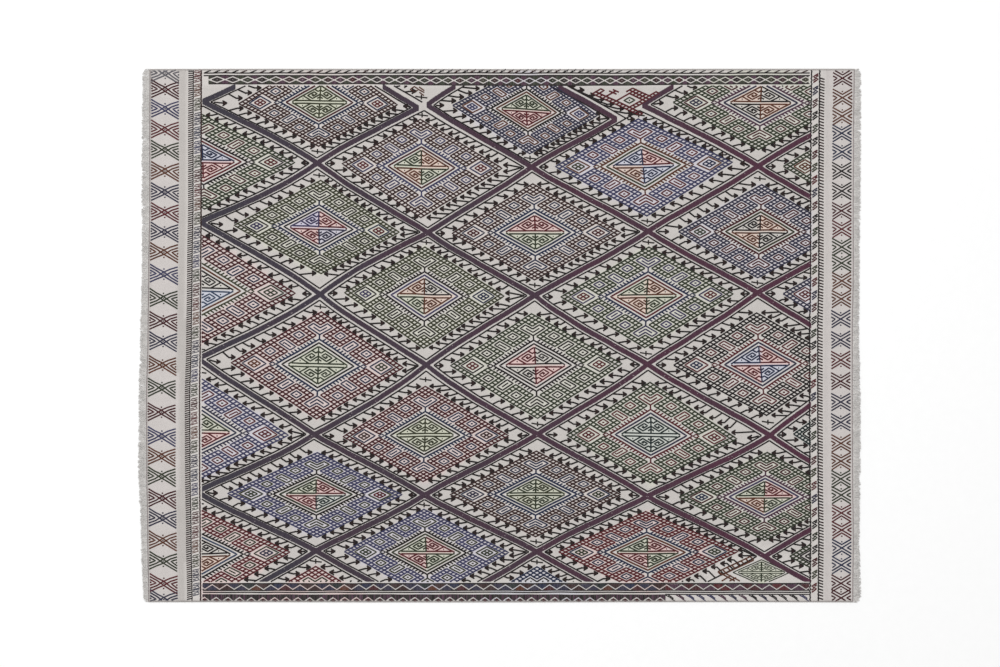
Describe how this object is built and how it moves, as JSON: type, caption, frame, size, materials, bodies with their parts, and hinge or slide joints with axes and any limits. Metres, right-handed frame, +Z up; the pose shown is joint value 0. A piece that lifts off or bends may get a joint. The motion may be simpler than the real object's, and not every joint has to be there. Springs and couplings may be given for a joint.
{
  "type": "cicim rug",
  "caption": "Flat brocaded wool rug with a diagonal lattice of bars, patterned borders and a short cut fringe at each end; lies on a floor.",
  "frame": {"origin": "middle of the whole rug's underside, on the floor it lies on", "axes": "+X along the warp, from one fringed end to the other; +Y across, from selvedge to selvedge; +Z up out of the patterned face"},
  "size_m": [2.3024, 1.7, 0.0038],
  "materials": {
    "brocaded_wool": "matt plain-woven ivory wool ground with raised dark brocading yarns",
    "warp_wool": "matt undyed wool warp ends, cut and slightly felted"
  },
  "bodies": {
    "root": {"rug_cloth": "brocaded_wool", "fringe_left": "warp_wool", "fringe_right": "warp_wool"}
  },
  "joints": []
}
